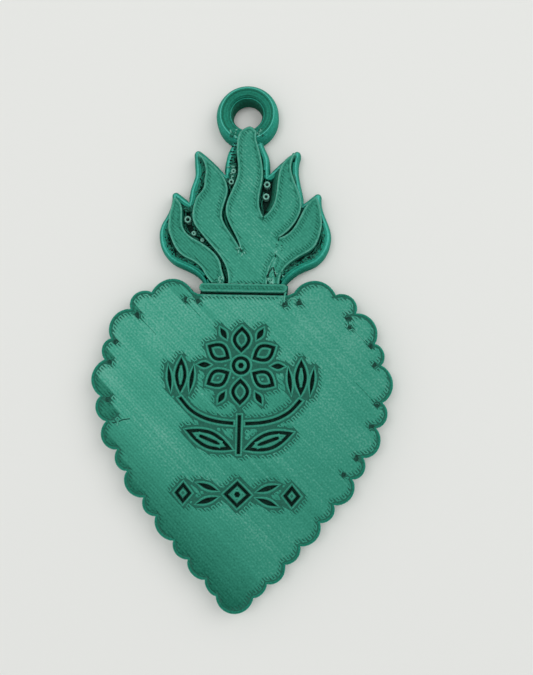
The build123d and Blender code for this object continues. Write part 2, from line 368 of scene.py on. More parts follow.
def printed_line_tree():
    """Sweeps a flattened round section along each line, with painted shade on its sides for the
    grooves between lines, and stacks the result in layers.
    """
    tree = bpy.data.node_groups.new("printed_lines", "GeometryNodeTree")
    face = tree.interface
    for name, kind in (
        ("Geometry", "Geometry"),
        ("Line width", "Float"),
        ("Line height", "Float"),
        ("Layers", "Int"),
        ("Layer height", "Float"),
        ("Groove shade", "Float"),
        ("Plastic", "Material"),
    ):
        face.new_socket(name, in_out="INPUT", socket_type="NodeSocket" + kind)
    face.new_socket("Geometry", in_out="OUTPUT", socket_type="NodeSocketGeometry")
    given = add(tree, "NodeGroupInput").outputs
    path = add(tree, "GeometryNodeMeshToCurve", {"Mesh": given["Geometry"]})
    level = add(tree, "GeometryNodeSetCurveNormal", {"Curve": path}, mode="Z_UP")
    disc = add(tree, "GeometryNodeCurvePrimitiveCircle", {"Resolution": 8, "Radius": 0.5})
    position = add(tree, "GeometryNodeInputPosition")
    place = add(tree, "ShaderNodeSeparateXYZ", {"Vector": position})
    # Painted shade: the farther a point of the section lies from its middle, the darker its tone,
    # for the grooves between lines
    aside = add(tree, "ShaderNodeMath", {0: place.outputs["X"]}, operation="ABSOLUTE")
    shade = add(tree, "ShaderNodeMath", {0: aside, 1: given["Groove shade"]}, operation="MULTIPLY")
    shaded = add(
        tree,
        "GeometryNodeStoreNamedAttribute",
        {"Geometry": disc, "Name": "painted_groove_shade", "Value": shade},
        data_type="FLOAT",
        domain="POINT",
    )
    size = add(
        tree, "ShaderNodeCombineXYZ", {"X": given["Line width"], "Y": given["Line height"], "Z": 1}
    )
    section = add(tree, "GeometryNodeTransform", {"Geometry": shaded, "Scale": size})
    fullness = add(tree, "GeometryNodeInputNamedAttribute", {"Name": "fullness"}, data_type="FLOAT")
    line = add(
        tree,
        "GeometryNodeCurveToMesh",
        {"Curve": level, "Profile Curve": section, "Scale": fullness, "Fill Caps": True},
    )
    smooth = add(tree, "GeometryNodeSetShadeSmooth", {"Geometry": line})
    step = add(tree, "ShaderNodeCombineXYZ", {"Z": given["Layer height"]})
    column = add(tree, "GeometryNodeMeshLine", {"Count": given["Layers"], "Offset": step})
    stack = add(tree, "GeometryNodeInstanceOnPoints", {"Points": column, "Instance": smooth})
    real = add(tree, "GeometryNodeRealizeInstances", {"Geometry": stack})
    painted = add(tree, "GeometryNodeSetMaterial", {"Geometry": real, "Material": given["Plastic"]})
    add(tree, "NodeGroupOutput", {"Geometry": painted})
    return tree


def printed(lines, width=WALL_LINE, height=LAYER, layers=1, groove_shade=0.0):
    """A mesh of printed lines, each layer over the last, with shade painted on the sides of the
    lines.
    """
    points = []
    values = {"tone": [], "fullness": []}
    edges = []
    for line in lines:
        first = len(points)
        count = len(line.points)
        points.extend(np.array(line.points) * MM)
        for name, held in values.items():
            held.extend(np.broadcast_to(getattr(line, name), count))
        edges.extend((first + step, first + step + 1) for step in range(count - 1))
        if line.closed:
            edges.append((first + count - 1, first))
    plan = bpy.data.meshes.new("print_plan")
    plan.from_pydata(points, edges, [])
    for name, held in values.items():
        plan.attributes.new(name, "FLOAT", "POINT").data.foreach_set("value", held)
    holder = placed("print_plan", plan)
    lay = holder.modifiers.new("lay", "NODES")
    lay.node_group = printed_lines
    sizes = {
        "Line width": width * MM,
        "Line height": height * MM,
        "Layers": layers,
        "Layer height": LAYER * MM,
        "Groove shade": groove_shade,
        "Plastic": plastic,
    }
    for socket in printed_lines.interface.items_tree:
        if socket.name in sizes:
            lay[socket.identifier] = sizes[socket.name]
    depsgraph = bpy.context.evaluated_depsgraph_get()
    mesh = bpy.data.meshes.new_from_object(
        holder.evaluated_get(depsgraph), preserve_all_data_layers=True, depsgraph=depsgraph
    )
    bpy.data.objects.remove(holder)
    return mesh


def at_height(line, height):
    """Plan points raised to a height."""
    return np.column_stack([line, np.full(len(line), height)])


def level_line(points, height, tone, closed=False):
    """A line of the print at one height."""
    return Line(at_height(points, height), tone, closed)


def wall_line(loop, back, height, tone, closed=True):
    """A line of the print at one height, set in from an outline."""
    return level_line(inset(loop, back, closed), height, tone, closed)


def stacked_walls(loops, low, high, tone=TONE_WALL, width=WALL_LINE, closed=True):
    """The outer wall of a print: one line for each layer, its outer side on the outline."""
    middle = low + LAYER / 2
    lines = [wall_line(loop, width / 2, middle, tone, closed) for loop in loops]
    return printed(lines, width, layers=round((high - low) / LAYER))


def plate(loops, low, high, tone):
    """A flat plate with the loops as its outline and holes."""
    curve = bpy.data.curves.new("plate", "CURVE")
    curve.dimensions = "2D"
    curve.fill_mode = "BOTH"
    curve.extrude = (high - low) / 2 * MM
    for loop in loops:
        spline = curve.splines.new("POLY")
        spline.points.add(len(loop) - 1)
        flat = np.column_stack([loop * MM, np.zeros(len(loop)), np.ones(len(loop))])
        spline.points.foreach_set("co", flat.ravel())
        spline.use_cyclic_u = True
    holder = bpy.data.objects.new("plate", curve)
    mesh = bpy.data.meshes.new_from_object(holder)
    bpy.data.objects.remove(holder)
    mesh.transform(Matrix.Translation((0, 0, (low + high) / 2 * MM)))
    shell = bmesh.new()
    shell.from_mesh(mesh)
    bmesh.ops.remove_doubles(shell, verts=shell.verts, dist=SAME_POINT * MM)
    shell.to_mesh(mesh)
    shell.free()
    for name, value in (("tone", tone), ("painted_groove_shade", 0.0)):
        held = mesh.attributes.new(name, "FLOAT", "POINT")
        held.data.foreach_set("value", [value] * len(mesh.vertices))
    return mesh


def fill_rows(loops, keep_off, pitch):
    """Rows of straight runs at the fill angle in closed loops, clear of the sides to keep off."""
    starts, ends = sides(loops)
    lowest = math.ceil((starts @ FILL_ACROSS).min() / pitch)
    highest = math.floor((starts @ FILL_ACROSS).max() / pitch)
    rows = []
    for row in range(lowest, highest + 1):
        across = row * pitch
        over = starts @ FILL_ACROSS - across
        under = ends @ FILL_ACROSS - across
        cut = (over < 0) != (under < 0)
        share = (over / np.where(cut, over - under, 1))[cut]
        crossings = np.sort((starts[cut] + share[:, None] * (ends - starts)[cut]) @ FILL_ALONG)
        runs = []
        for low, high in zip(crossings[::2], crossings[1::2]):
            along = np.arange(low, high, FILL_SAMPLE)
            places = along[:, None] * FILL_ALONG + across * FILL_ACROSS
            clear = np.ones(len(along), bool)
            for side_starts, side_ends, clearance in keep_off:
                first = side_starts @ FILL_ACROSS - across
                last = side_ends @ FILL_ACROSS - across
                lower = np.minimum(first, last)
                upper = np.maximum(first, last)
                near = (lower < clearance) & (upper > -clearance)
                if near.any():
                    gap = distance_to(places, side_starts[near], side_ends[near])
                    clear &= gap >= clearance
            for begin, finish in spans(clear):
                if along[finish - 1] - along[begin] > SHORTEST_RUN:
                    runs.append((along[begin], along[finish - 1]))
        rows.append((across, runs))
    return rows


def zigzag(rows, top, tone_of, groove_shade, sheen_fade=0.0):
    """Lays the runs of neighbouring rows end to end, as a nozzle does. Their painted sheen weakens
    towards the lower right, which darkens them there."""
    finished = []
    waiting = []
    for across, runs in rows:
        carried = []
        for low, high in runs:
            path = {"points": [], "tones": [], "fullness": [], "forward": False}
            for earlier in waiting:
                end = high if earlier["forward"] else low
                if abs(earlier["end"] - end) < TURN_REACH:
                    path = earlier
                    waiting = [other for other in waiting if other is not earlier]
                    break
            ends = (high, low) if path["forward"] else (low, high)
            turn = min(TURN_LENGTH, (high - low) / SHORT_RUN_PARTS)
            turn = math.copysign(turn, ends[1] - ends[0])
            tone = tone_of(across, low, high) + either_way(TONE_SPREAD)
            for end, way in ((ends[0], 1), (ends[1], -1)):
                for steps in (0, 1, 2)[::way]:
                    along = end + way * steps * turn
                    path["points"].append(along * FILL_ALONG + across * FILL_ACROSS)
                    path["tones"].append(tone - sheen_fade * along)
                    path["fullness"].append(END_FULLNESS[steps])
            path["forward"] = not path["forward"]
            path["end"] = ends[1]
            carried.append(path)
        finished += waiting
        waiting = carried
    finished += waiting
    middle = top - FILL_CROWN / 2
    lines = []
    for path in finished:
        points = at_height(np.array(path["points"]), middle)
        lines.append(Line(points, path["tones"], False, path["fullness"]))
    return printed(lines, FILL_LINE, FILL_CROWN, groove_shade=groove_shade)


def even(tone):
    """The same tone for every run."""
    return lambda across, low, high: tone


def bed_lines(outline):
    """The lines that were pressed onto the bed."""
    rows = fill_rows([outline], [(*sides([outline]), WALL_LINE)], HEART_PITCH)
    return zigzag(rows, FILL_CROWN, even(TONE_FILL), HEART_GROOVE_SHADE)


def finished_piece(name, meshes, *nodes, finish=None):
    """Makes one piece of the charm, which stands for the named solids."""
    shell = bmesh.new()
    for mesh in meshes:
        shell.from_mesh(mesh)
    bmesh.ops.recalc_face_normals(shell, faces=shell.faces)
    whole = bpy.data.meshes.new(name)
    shell.to_mesh(whole)
    shell.free()
    whole.materials.clear()
    whole.materials.append(finish or plastic)
    piece = placed(name, whole)
    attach(piece, "root")
    if nodes:
        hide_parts(*nodes)


# Material


# The plastic from its darkest tone to its lightest: thin walls show a purer green of their own,
# brightened by a painted teal sheen from the light at the side
TONE_STOPS = (0.0, 0.3, 0.6, 1.0)
TOP_COLOURS = ("#031a14", "#0b624d", "#338d76", "#93c8b8")
WALL_SHEEN_COLOURS = ("#031a14", "#09624c", "#1c8f79", "#5fcab9")
# Clouds in the plastic and the grain of its melted surface: their sizes and how much they add to a
# tone, which is then shifted back by what they add on average
CLOUD_SIZE = 5
GRAIN_SIZE = 0.3
CLOUD_SHARE = 0.12
GRAIN_SHARE = 0.4
FUZZ_SHARE = 0.5
MEAN_SHARE = 0.26


def new_material(name):
    """A new material, with its node tree and its shader."""
    material = bpy.data.materials.new(name)
    material.use_nodes = True
    return material, material.node_tree, material.node_tree.nodes["Principled BSDF"]


def silk_pla(name, colours):
    """Green PLA filament with a silk additive, melted into lines by a nozzle: a satin gloss, lines
    that differ a little in tone from pass to pass, a cloudy grain, painted shade in the grooves
    between lines, and cuts painted nearly black for their shade."""
    material, tree, shader = new_material(name)
    place = add(tree, "ShaderNodeTexCoord").outputs["Object"]
    line_tone = add(tree, "ShaderNodeAttribute", attribute_name="tone").outputs["Fac"]
    # Painted shade for the grooves between lines darkens the tone
    painted_groove_shade = add(tree, "ShaderNodeAttribute", attribute_name="painted_groove_shade").outputs["Fac"]
    tone = add(tree, "ShaderNodeMath", {0: line_tone, 1: painted_groove_shade}, operation="SUBTRACT")
    cloud = add(
        tree, "ShaderNodeTexNoise", {"Vector": place, "Scale": 1 / (CLOUD_SIZE * MM), "Detail": 3}
    )
    grain = add(
        tree, "ShaderNodeTexNoise", {"Vector": place, "Scale": 1 / (GRAIN_SIZE * MM), "Detail": 3}
    )
    clouds = {0: cloud, 1: CLOUD_SHARE, 2: tone}
    clouded = add(tree, "ShaderNodeMath", clouds, operation="MULTIPLY_ADD")
    grains = {0: grain, 1: GRAIN_SHARE, 2: clouded}
    grained = add(tree, "ShaderNodeMath", grains, operation="MULTIPLY_ADD")
    level = add(tree, "ShaderNodeMath", {0: grained, 1: MEAN_SHARE}, operation="SUBTRACT")
    ramp = add(tree, "ShaderNodeValToRGB", {"Fac": level})
    stops = ramp.color_ramp.elements
    stops.new(TONE_STOPS[1])
    stops.new(TONE_STOPS[2])
    for stop, position, colour in zip(stops, TONE_STOPS, colours):
        stop.position = position
        stop.color = linear(colour)
    rough = add(tree, "ShaderNodeMapRange", {"Value": grain, "To Min": 0.34, "To Max": 0.5})
    bump = add(tree, "ShaderNodeBump", {"Height": grain, "Strength": 0.25, "Distance": 0.03 * MM})
    feed(shader, {"Base Color": ramp, "Roughness": rough, "Normal": bump})
    feed(shader, {"Metallic": 0.35, "IOR": 1.46, "Specular IOR Level": 0.25})
    return material


def unsmoothed_pla_painted_shade():
    """The same filament where the nozzle only dragged over it, in cuts and valleys: stringy and
    dull, with painted shade in its colour that goes down to nearly black."""
    material, tree, shader = new_material("unsmoothed_pla_painted_shade")
    place = add(tree, "ShaderNodeTexCoord").outputs["Object"]
    tone = add(tree, "ShaderNodeAttribute", attribute_name="tone").outputs["Fac"]
    fuzz = add(
        tree, "ShaderNodeTexNoise", {"Vector": place, "Scale": 1 / (GRAIN_SIZE * MM), "Detail": 3}
    )
    level = add(tree, "ShaderNodeMath", {0: fuzz, 1: FUZZ_SHARE, 2: tone}, operation="MULTIPLY_ADD")
    ramp = add(tree, "ShaderNodeValToRGB", {"Fac": level})
    stops = ramp.color_ramp.elements
    stops[0].position = 0.15
    stops[0].color = linear("#02110d")
    stops[1].position = 1.0
    stops[1].color = linear("#2f7f6a")
    bump = add(tree, "ShaderNodeBump", {"Height": fuzz, "Strength": 0.8, "Distance": 0.1 * MM})
    feed(shader, {"Base Color": ramp, "Normal": bump})
    feed(shader, {"Roughness": 0.75, "Specular IOR Level": 0.15})
    return material


plastic = silk_pla("silk_green_pla", TOP_COLOURS)
# A copy of the plastic for walls, with their painted teal sheen
sheen_wall_plastic = silk_pla("silk_green_pla_walls_painted_sheen", WALL_SHEEN_COLOURS)
# A darker copy of the plastic, with painted shade, for cuts, valleys, pits and strands
dragged = unsmoothed_pla_painted_shade()
printed_lines = printed_line_tree()


# Heart plate: small pits where the fill left the skin bare, as their middles and radii
PITS = (
    (-15.67, 3.00, 0.50),
    (-18.90, -1.00, 0.42),
    (-19.60, -4.20, 0.38),
    (-19.63, -9.78, 0.44),
    (15.66, 3.14, 0.50),
    (15.97, 1.80, 0.36),
    (18.92, -0.95, 0.42),
    (19.67, -3.87, 0.42),
    (20.00, -9.53, 0.46),
    (19.16, -12.72, 0.44),
    (17.18, -17.21, 0.42),
    (15.35, -19.67, 0.40),
    (-8.60, 5.45, 0.45),
    (-6.75, 5.30, 0.40),
    (6.30, 5.00, 0.42),
    (8.40, 5.35, 0.45),
)
# Seams between stretches of fill: where they start and how long they are
SEAMS = (
    ((16.2, 1.6), 3.4),
    ((16.9, -6.4), 4.0),
    ((-8.4, 5.1), 3.0),
    ((-15.3, 2.6), 3.5),
)
# A dark scratch at the left edge
SCRATCH = ((-18.7, -13.1), (-17.9, -12.95), (-17.2, -12.6), (-16.2, -12.45))
# Left notches where the rows stop and start again, and how far in the stop reaches
STOPS = (
    (-19.60, -4.20, 0.7),
    (-19.63, -9.78, 0.9),
    (-18.85, -12.77, 1.2),
)
# Rows by their distance across the fill from the middle, and how light they show: painted shade
# darkens the rows at the lower left
ROW_TONES = (
    (-28.0, 0.35),
    (-21.0, 0.62),
    (-19.0, 0.64),
    (-18.4, 0.655),
    (-17.3, 0.655),
    (-16.9, 0.62),
    (-10.0, 0.62),
    (0.0, 0.64),
)
# Runs up to this long in the left lobes get painted shade, darkest at the first of these two x
SHORT_RUN = 5
LEFT_LOBES = (-15, -9)


def heart_tone(across, low, high):
    """Rows at the lower left catch less light, and short runs in the left lobes least."""
    tone = np.interp(across, *zip(*ROW_TONES))
    if across < 0 and high - low < SHORT_RUN:
        x = (low + high) / 2 * FILL_ALONG[0] + across * FILL_ACROSS[0]
        tones = (TONE_SHORT_FILL, TONE_MIDDLE_SHORT_FILL)
        tone = min(tone, np.interp(x, LEFT_LOBES, tones))
    return float(tone)


# Where the print of the heart wanders off its outline, which way and over what reach
HEART_WANDERS = (
    ((17.4, -19.1), (0.31, -0.26), 6.5),
    ((14.8, -23.5), (0.28, -0.23), 9.0),
    ((-6.0, -34.7), (0.36, 0.35), 6.0),
    ((-10.5, -29.2), (0.22, 0.2), 5.0),
    ((-16.8, -20.3), (-0.2, -0.15), 5.5),
    ((-14.0, 7.1), (0.12, -0.16), 5.0),
    ((14.9, 6.6), (-0.1, -0.16), 5.0),
    ((-21.3, -3.6), (0.18, 0.0), 4.0),
    ((-20.8, -12.8), (0.17, 0.0), 4.5),
)
# How far the fill stays off the engraving, the slot under the collar, a stop and a pit
CUT_CLEAR = 0.66
SLOT_CLEAR = 0.3
STOP_CLEAR = 0.18
PIT_CLEAR = 0.1
# The stretch of the heart's edge along that slot: its lowest y and its half width
SLOT_EDGE_LOW = 6.2
SLOT_EDGE_HALF = 7
# The crest, a thin line where the heart's edge catches the light: how far in and down, and its size
HEART_CREST_BACK = 0.09
HEART_CREST_DROP = 0.06
HEART_CREST_SIZE = (0.14, 0.1)
# How far in from the heart's edge the floor of the engraving ends, and the line along a cut's edge
ENGRAVING_BACK = 2.0
CUT_LINE = 0.4
# A pit: its corners, how ragged they are, and how far its plate, near black as painted shade, lies
# under the top
PIT_CORNERS = 9
PIT_RAGGED = (0.6, 1.25)
PIT_DROP = 0.02
# The loose end in a pit: how many corners it follows, how far out, its tone and its size
LOOSE_CORNERS = (3, 6)
LOOSE_REACH = (0.4, 1)
LOOSE_TONES = (0.3, 0.9)
LOOSE_SIZE = (0.16, 0.1)


def along_slot(points):
    """Whether each point of the heart's edge lies along the slot under the collar."""
    return (points[:, 1] > SLOT_EDGE_LOW) & (abs(points[:, 0]) < SLOT_EDGE_HALF)


heart_loops = outlines("heart_plate", HEART_TOP)
heart_outline = nudged(heart_loops[0], HEART_WANDERS)
cuts = [softened(loop) for loop in heart_loops[1:]]
starts, ends = sides([heart_outline])
by_slot = along_slot(starts) & along_slot(ends)
keep_off = [
    (starts[~by_slot], ends[~by_slot], FILL_CLEAR),
    (*sides(cuts), CUT_CLEAR),
    (starts[by_slot], ends[by_slot], SLOT_CLEAR),
]
for x, y, reach in STOPS:
    notch = np.array([(x, y)])
    keep_off.append((notch, notch + reach * FILL_ACROSS, STOP_CLEAR))
for x, y, radius in PITS:
    spot = np.array([(x, y)])
    keep_off.append((spot, spot, radius + PIT_CLEAR))
body_outline = inset(heart_outline, WALL_BACK)
skin_top = HEART_TOP - SKIN_UNDER_FILL
# The edge line is darkened as painted shade on the rounded edge, under a crest that catches the
# light
edge = wall_line(heart_outline, WALL_LINE / 2, HEART_TOP - LAYER / 2, TONE_EDGE_SHADE)
crest = wall_line(heart_outline, HEART_CREST_BACK, HEART_TOP - HEART_CREST_DROP, TONE_HEART_CREST)
finished_piece(
    "heart_plate_body",
    [
        plate([body_outline], BED_GAP, ENGRAVING_FLOOR - PLATE_LAP, TONE_WALL),
        stacked_walls([heart_outline], 0, HEART_TOP - LAYER),
        printed([edge]),
        printed([crest], *HEART_CREST_SIZE),
    ],
    "heart_plate",
    finish=sheen_wall_plastic,
)
# The engraving's floor is painted near black as its shade
engraving_floor = inset(heart_loops[0], ENGRAVING_BACK)
finished_piece(
    "heart_plate_skin",
    [
        plate([engraving_floor], ENGRAVING_FLOOR - FLOOR_PLATE, ENGRAVING_FLOOR, TONE_CUT_SHADE),
        # The bare skin around the cuts, darker as painted shade below the fill
        plate([body_outline, *cuts], ENGRAVING_FLOOR - PLATE_LAP, skin_top, TONE_SKIN),
    ],
    finish=dragged,
)
cut_edges = [wall_line(cut, CUT_LINE / 2, HEART_TOP - LAYER / 2, TONE_CUT_EDGE) for cut in cuts]
top_rows = fill_rows([heart_outline], keep_off, HEART_PITCH)
finished_piece(
    "heart_plate_top_lines",
    [
        zigzag(top_rows, HEART_TOP, heart_tone, HEART_GROOVE_SHADE, HEART_SHEEN_FADE),
        printed(cut_edges, CUT_LINE),
    ],
)
pit_floors = []
pit_curls = [level_line(SCRATCH, HEART_TOP, TONE_SCRATCH)]
for x, y, radius in PITS:
    turns = np.arange(PIT_CORNERS) * 2 * math.pi / PIT_CORNERS
    reach = np.array([radius * rng.uniform(*PIT_RAGGED) for _ in turns])
    ragged = np.stack([np.cos(turns), np.sin(turns)], 1) * reach[:, None]
    spot = np.array((x, y))
    # The pit's floor, near black as painted shade
    pit_floors.append(plate([spot + ragged], skin_top - PIT_DROP, HEART_TOP - PIT_DROP, TONE_PIT_SHADE))
    first = rng.randrange(PIT_CORNERS)
    count = rng.randrange(*LOOSE_CORNERS)
    loose_end = spot + np.roll(ragged, first, 0)[:count] * rng.uniform(*LOOSE_REACH)
    tone = rng.uniform(*LOOSE_TONES)
    pit_curls.append(level_line(loose_end, HEART_TOP - THIN_LINE_DROP, tone))
finished_piece(
    "heart_plate_pits", [*pit_floors, printed(pit_curls, *LOOSE_SIZE)], finish=dragged
)
finished_piece("heart_plate_bed_lines", [bed_lines(heart_outline)])

# Collar bar: each layer's height and how far it stands back, then the plate inside, fill and crest
COLLAR_LAYERS = ((2.3, 0.0), (2.5, 0.0), (2.7, 0.0), (2.9, 0.0), (3.1, 0.0), (3.3, 0.04))
COLLAR_PLATE_BACK = 0.2
COLLAR_PLATE_TOP = 3.33
COLLAR_FILL_TOP = 3.38
COLLAR_CREST_HEIGHT = 3.35
# The slot under the collar, where a near-black plate is its painted shade: its corners, and how far
# that plate rises
SLOT = ((-6.5, 6.3), (6.5, 6.3), (6.5, 6.9), (-6.5, 6.9))
SLOT_RISE = 0.15
# Crests of the collar and the tongues, thin lines lighter as painted highlights: how far in they
# lie, and their size
CREST_BACK = 0.14
CREST_SIZE = (0.14, 0.08)
collar_outline = outlines("collar_bar", COLLAR_FOOT)[0]
collar_sides = sides([collar_outline])
collar_lines = []
for height, back in COLLAR_LAYERS:
    collar_lines.append(wall_line(collar_outline, back + WALL_LINE / 2, height, TONE_COLLAR))
# The collar's crest is a painted highlight
crest = wall_line(collar_outline, CREST_BACK, COLLAR_CREST_HEIGHT, TONE_COLLAR_CREST_HIGHLIGHT)
collar_core = inset(collar_outline, COLLAR_PLATE_BACK)
collar_rows = fill_rows([collar_outline], [(*collar_sides, COLLAR_CLEAR)], HEART_PITCH)
# A near-black plate in the slot: painted shade
slot_floor = plate([np.array(SLOT)], COLLAR_FOOT - PLATE_LAP, COLLAR_FOOT + SLOT_RISE, TONE_CUT_SHADE)
finished_piece("collar_slot", [slot_floor], finish=dragged)
finished_piece(
    "collar_bar_lines",
    [
        plate([collar_core], COLLAR_FOOT, COLLAR_PLATE_TOP, TONE_WALL),
        printed(collar_lines),
        printed([crest], *CREST_SIZE),
        zigzag(collar_rows, COLLAR_FILL_TOP, even(TONE_COLLAR_FILL), TONGUE_GROOVE_SHADE),
    ],
    "collar_bar",
)

# Flame tray: each layer's height and how far it stands back, which rounds the rim in steps
RIM_LAYERS = (
    (0.1, 0.0),
    (0.3, 0.0),
    (0.5, 0.0),
    (0.7, 0.0),
    (0.9, 0.0),
    (1.1, 0.0),
    (1.3, 0.01),
    (1.5, 0.04),
    (1.7, 0.08),
    (1.9, 0.15),
    (2.1, 0.26),
)
# Where the print of a tongue wanders off its outline, which way and over what reach
WANDERS = {
    "tongue_centre": (
        ((-1.2, 31.2), (-0.32, 0.0), 2.2),
        ((0.8, 31.7), (0.4, 0.0), 1.8),
        ((0.1, 32.4), (0.12, 0.15), 1.2),
    ),
    "tongue_left_outer": (
        ((-6.9, 10.2), (0.4, 0.25), 3.0),
        ((-9.9, 13.2), (-0.37, -0.4), 3.4),
        ((-11.4, 15.8), (-0.12, 0.0), 2.6),
        ((-11.9, 18.0), (0.3, 0.0), 2.5),
        ((-12.0, 19.8), (0.3, 0.0), 1.8),
        ((-3.8, 8.0), (0.95, 0.0), 2.6),
    ),
    "tongue_left_inner": (
        ((-7.2, 22.8), (0.45, 0.0), 1.8),
        ((-7.5, 17.3), (-0.25, 0.0), 2.5),
    ),
    "tongue_right_outer": (
        ((9.9, 14.4), (0.36, -0.2), 2.8),
        ((10.8, 16.7), (0.25, 0.0), 2.4),
    ),
}
# Where the tray bulges past its outline, by how much and over what reach
SWELLS = (
    ((-11.4, 12.2), 0.45, 7.0),
    ((-7.2, 9.6), 0.2, 3.0),
    ((11.0, 11.8), 0.33, 6.0),
    ((7.0, 9.5), 0.33, 3.0),
    ((-13.0, 17.2), 0.15, 2.5),
    ((-8.0, 27.0), 0.25, 2.4),
    ((-8.7, 22.9), 0.18, 2.6),
    ((3.1, 28.1), 0.16, 2.0),
)
# Where the pocket alone is wider, which leaves the rim thin
THIN_RIM = ((-3.2, 28.6), 0.3, 2.4)
# Lines inside the rim: how far in they lie and how light they show, darker inwards as painted shade
# down into the pocket
RIM_STEPS = ((0.15, 0.54), (0.5, 0.48), (0.85, 0.36))
# They are laid this far from the crown or in a slot this thin, where a second tongue is this far
# off. A line this near the rim is laid wherever it clears the crown.
CROWN_GAP = 0.6
THIN_SLOT = 1.1
SECOND_TONGUE = 2.0
NEAR_RIM = 0.3
NEAR_RIM_GAP = 0.1
# Notches between tongues that the rim webs over: their places and reach
WEBS = (((-8.9, 20.9), 2.2), ((-3.3, 25.2), 2.4))
# The rim's crest, a thin line lighter as a painted highlight: how far in it lies, its size, and
# between which y its painted highlight comes on
RIM_CREST_BACK = 0.55
RIM_CREST_SIZE = (0.34, 0.1)
RIM_CREST_TURN = (9.5, 14.0)
# How far the rim's inner wall lies outside the pocket, how far the floor runs under it, and how far
# the tray's plate stands back from the outline
POCKET_WALL_OUT = 0.2
POCKET_FLOOR_OUT = 0.1
TRAY_PLATE_BACK = 0.1

tongue_loops = {name: outlines(name, TONGUE_TOP)[0] for name in TONGUES}
for name, wanders in WANDERS.items():
    tongue_loops[name] = nudged(tongue_loops[name], wanders)
tray_outline = swollen(outlines("flame_tray", 0.0)[0], SWELLS)
pocket = swollen(outlines("flame_tray", FLOOR_TOP)[0], SWELLS + (THIN_RIM,))


def kept_stretches(line, kept):
    """The unbroken stretches of a line's kept points, of three points or more."""
    return [line[begin:finish] for begin, finish in spans(kept) if finish - begin > 2]


def rim_stretches(back):
    """The stretches of a line inside the rim that lie well outside the crown, in a thin slot or in
    a web."""
    line = inset(pocket, back)
    gaps = np.sort([distance_to(line, *sides([loop])) for loop in tongue_loops.values()], axis=0)
    kept = (gaps[0] > CROWN_GAP) | (gaps[0] + back < THIN_SLOT)
    kept &= gaps[1] > SECOND_TONGUE
    if back < NEAR_RIM:
        kept = gaps[0] > NEAR_RIM_GAP
    for spot, reach in WEBS:
        kept |= nearness(line, spot, reach) > 0
    covered = np.any([inside(line, loop) for loop in tongue_loops.values()], axis=0)
    return kept_stretches(line, kept & ~covered)


rim_lines = []
for height, back in RIM_LAYERS:
    rim_lines.append(wall_line(tray_outline, back + WALL_LINE / 2, height, TONE_RIM))
    if height > FLOOR_TOP:
        rim_lines.append(wall_line(pocket, -POCKET_WALL_OUT, height, TONE_RIM))
        for inwards, tone in RIM_STEPS:
            rim_lines += [level_line(stretch, height, tone) for stretch in rim_stretches(inwards)]
# The rim's crest is a painted highlight, lighter from the lower part of the tray up
crest = inset(tray_outline, RIM_CREST_BACK)
rim_highlight_tones = np.interp(crest[:, 1], RIM_CREST_TURN, (TONE_RIM, TONE_RIM_CREST_HIGHLIGHT))
rim_crest = level_line(crest, RIM_TOP - THIN_LINE_DROP, rim_highlight_tones, True)
tray_core = inset(tray_outline, TRAY_PLATE_BACK)
finished_piece(
    "flame_tray_rim",
    [
        plate([tray_core], BED_GAP, FLOOR_TOP - FLOOR_PLATE, TONE_WALL),
        printed(rim_lines),
        printed([rim_crest], *RIM_CREST_SIZE),
    ],
    "flame_tray",
    finish=sheen_wall_plastic,
)
# The pocket's floor between the tongues is painted near black as its shade
pocket_floor = inset(pocket, -POCKET_FLOOR_OUT)
finished_piece(
    "flame_tray_floor",
    [plate([pocket_floor], FLOOR_TOP - FLOOR_PLATE, FLOOR_TOP, TONE_CUT_SHADE)],
    finish=dragged,
)
finished_piece("flame_tray_bed_lines", [bed_lines(tray_outline)])

# Flame tongues: how light the fill of the side ones shows, darker than the centre one as painted
# shade
TONGUE_TONES = {
    "tongue_left_inner": 0.61,
    "tongue_left_outer": 0.51,
    "tongue_right_inner": 0.61,
    "tongue_right_outer": 0.57,
}


def crown_tone(across, low, high):
    """The side tongues catch less light than the centre one."""
    spot = (low + high) / 2 * FILL_ALONG + across * FILL_ACROSS
    for name, tone in TONGUE_TONES.items():
        if inside(spot[None], tongue_loops[name])[0]:
            return tone
    return TONE_FILL


def joined(runs):
    """Runs that meet end to end, made into one."""
    whole = []
    for low, high in sorted(runs):
        if whole and low - whole[-1][1] < JOINED_GAP:
            low = whole.pop()[0]
        whole.append((low, high))
    return whole


# The right inner tongue slopes into the valley on its left: where and over what reach, and each
# step's distance from the tongue, height and tone, darker lower down as painted shade
SLOPE = ((4.5, 22.6), 3.6)
SLOPE_STEPS = ((0.1, 2.7, 0.32), (0.35, 2.3, 0.24), (0.55, 1.9, 0.16))
slope_lines = []
for out, height, tone in SLOPE_STEPS:
    line = inset(tongue_loops["tongue_right_inner"], -out)
    kept = (nearness(line, *SLOPE) > 0) & inside(line, pocket)
    slope_lines += [level_line(stretch, height, tone) for stretch in kept_stretches(line, kept)]
